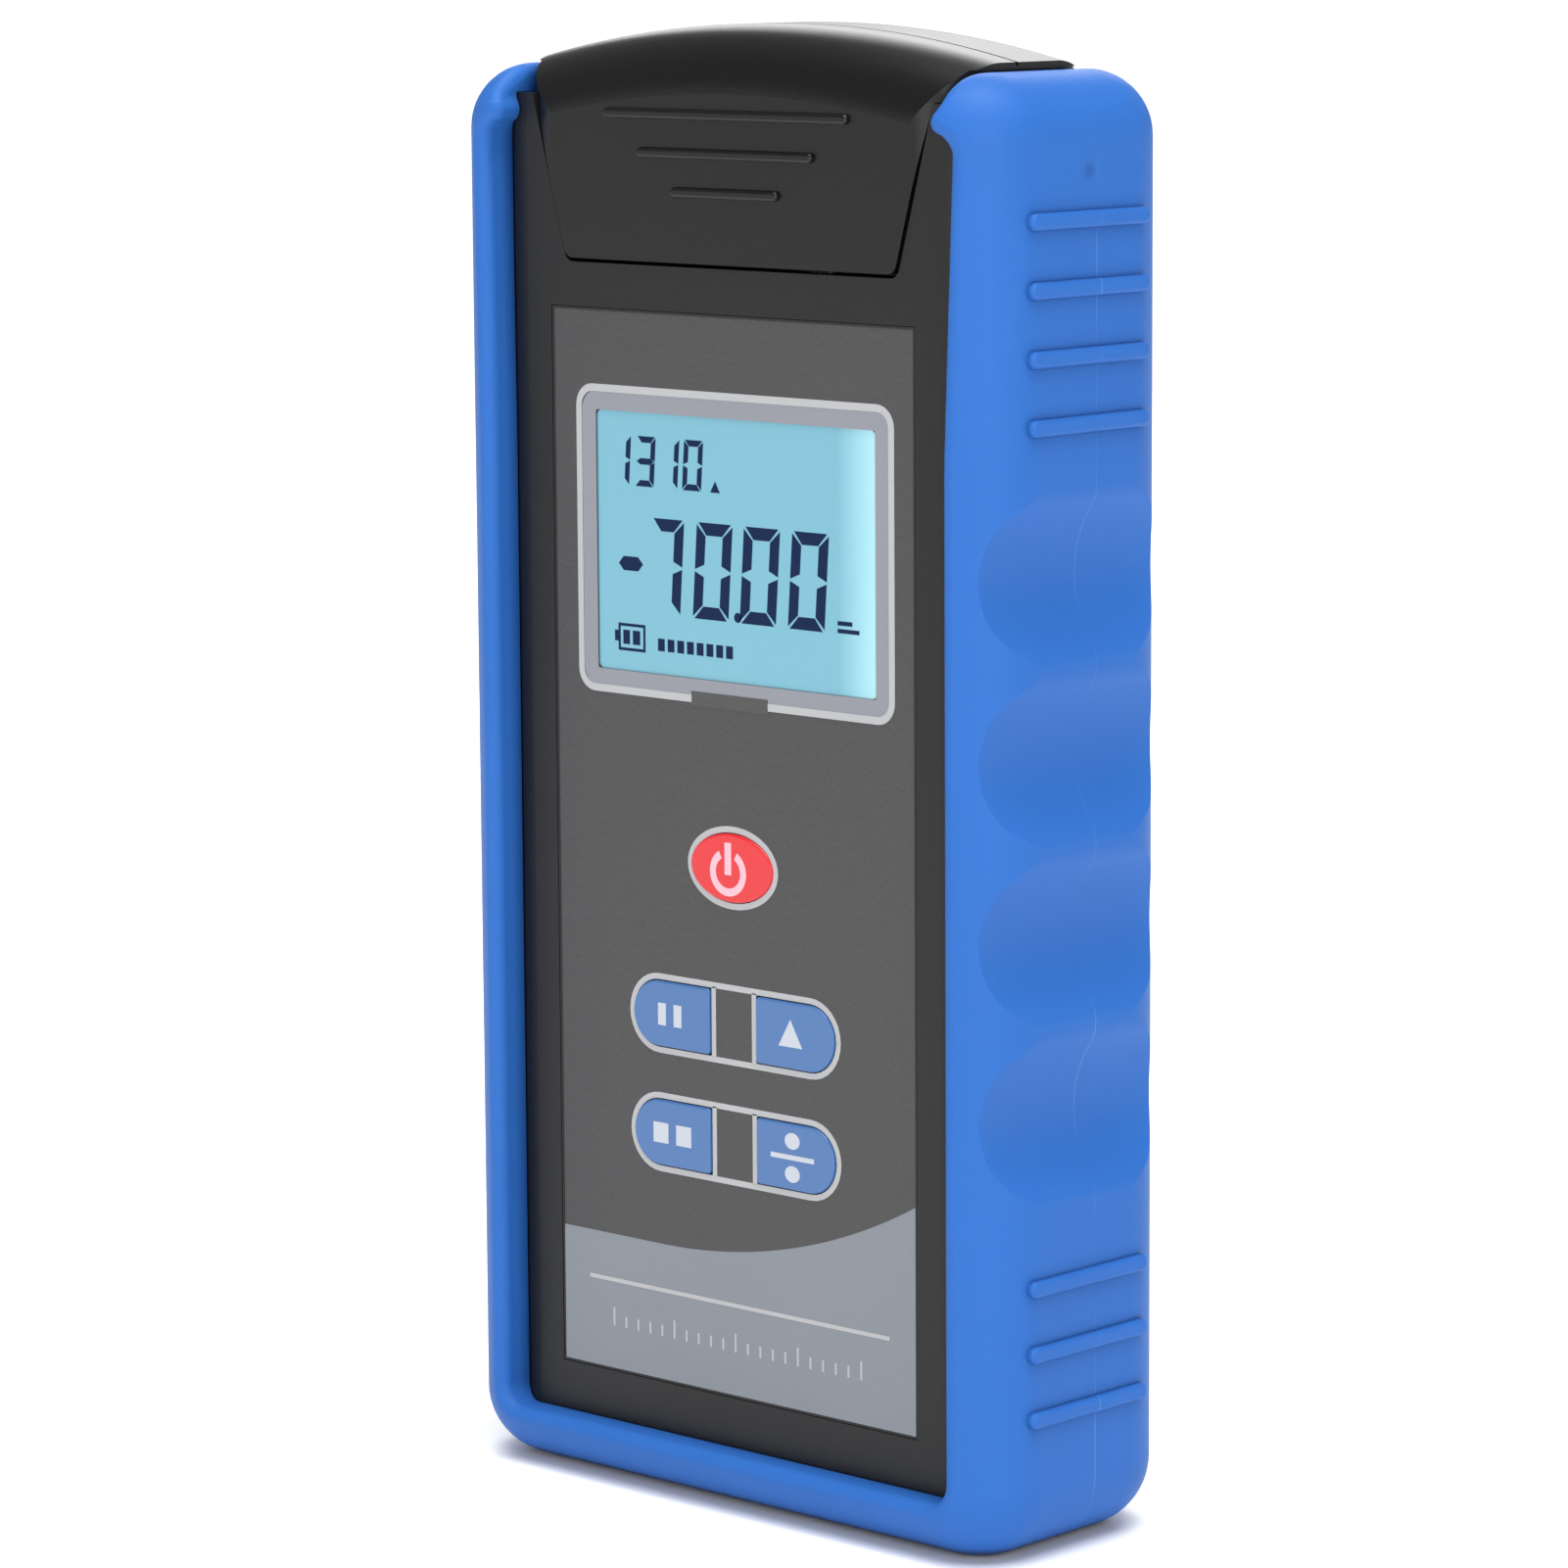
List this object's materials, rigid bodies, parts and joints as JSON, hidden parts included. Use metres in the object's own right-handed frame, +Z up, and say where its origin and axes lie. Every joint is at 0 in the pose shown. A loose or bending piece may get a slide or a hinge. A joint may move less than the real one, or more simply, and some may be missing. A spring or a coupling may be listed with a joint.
{
  "type": "optical power meter",
  "caption": "Handheld fibre optical power meter in a finger-grip bumper holster, with display, five keys, hinged dust cover over its fibre port, and battery door.",
  "frame": {"origin": "middle of the holster's base, in the plane it stands on", "axes": "+Z up the meter from its foot to the dust cover, -Y out of the display face, +X to the right of its reader"},
  "size_m": [0.0894, 0.0342, 0.1772],
  "materials": {
    "holster_rubber": "satin silicone",
    "case_black": "fine matte",
    "cover_black": "fine satin",
    "label_film": "fine grained film",
    "display_face": "polished, lit from behind",
    "key_red": "satin",
    "key_blue": "satin",
    "switch_black": "satin",
    "display_glass": "polished",
    "backlight_white": "matte",
    "connector_rubber": "matte",
    "board_green": "satin",
    "chip_black": "matte",
    "nickel": "satin plated",
    "ceramic_white": "polished",
    "steel": "plated",
    "cell_wrap": "satin"
  },
  "bodies": {
    "meter": {"holster": "holster_rubber", "front_case": "case_black", "rear_case": "case_black", "cover_hinge_pin": "steel", "face_label": "label_film", "display_window": "display_face", "power_key_switch": "switch_black", "upper_left_key_switch": "switch_black", "upper_right_key_switch": "switch_black", "lower_left_key_switch": "switch_black", "lower_right_key_switch": "switch_black", "display_glass": "display_glass", "display_backlight": "backlight_white", "display_connector": "connector_rubber", "main_board": "board_green", "processor_chip": "chip_black", "amplifier_chip": "chip_black", "sounder": "chip_black", "fibre_adapter": "nickel", "ferrule_sleeve": "ceramic_white", "adapter_screws": "steel", "detector_can": "nickel", "detector_board": "board_green", "left_cell": "cell_wrap", "middle_cell": "cell_wrap", "right_cell": "cell_wrap", "cell_contacts": "nickel", "case_screws": "steel", "board_screws": "steel"},
    "dust_cover": {"dust_cover": "cover_black"},
    "battery_door": {"battery_door": "case_black"},
    "power_key": {"power_key": "key_red"},
    "upper_left_key": {"upper_left_key": "key_blue"},
    "upper_right_key": {"upper_right_key": "key_blue"},
    "lower_left_key": {"lower_left_key": "key_blue"},
    "lower_right_key": {"lower_right_key": "key_blue"}
  },
  "joints": [
    {"name": "cover_hinge", "type": "hinge", "parent": "meter", "child": "dust_cover", "pos_m": [0, 0.0129, 0.1688], "axis": [-1, 0, 0], "range_deg": [0, 125]},
    {"name": "battery_door_hinge", "type": "hinge", "parent": "meter", "child": "battery_door", "pos_m": [0, 0.01185, 0.01835], "axis": [-1, 0, 0], "range_deg": [0, 35]},
    {"name": "power_key_press", "type": "slide", "parent": "meter", "child": "power_key", "axis": [0, 1, 0], "range_m": [0, 0.0005], "stiffness_N_per_m": 1500, "springref_m": -0.0003},
    {"name": "upper_left_key_press", "type": "slide", "parent": "meter", "child": "upper_left_key", "axis": [0, 1, 0], "range_m": [0, 0.0005], "stiffness_N_per_m": 1500, "springref_m": -0.0003},
    {"name": "upper_right_key_press", "type": "slide", "parent": "meter", "child": "upper_right_key", "axis": [0, 1, 0], "range_m": [0, 0.0005], "stiffness_N_per_m": 1500, "springref_m": -0.0003},
    {"name": "lower_left_key_press", "type": "slide", "parent": "meter", "child": "lower_left_key", "axis": [0, 1, 0], "range_m": [0, 0.0005], "stiffness_N_per_m": 1500, "springref_m": -0.0003},
    {"name": "lower_right_key_press", "type": "slide", "parent": "meter", "child": "lower_right_key", "axis": [0, 1, 0], "range_m": [0, 0.0005], "stiffness_N_per_m": 1500, "springref_m": -0.0003}
  ]
}
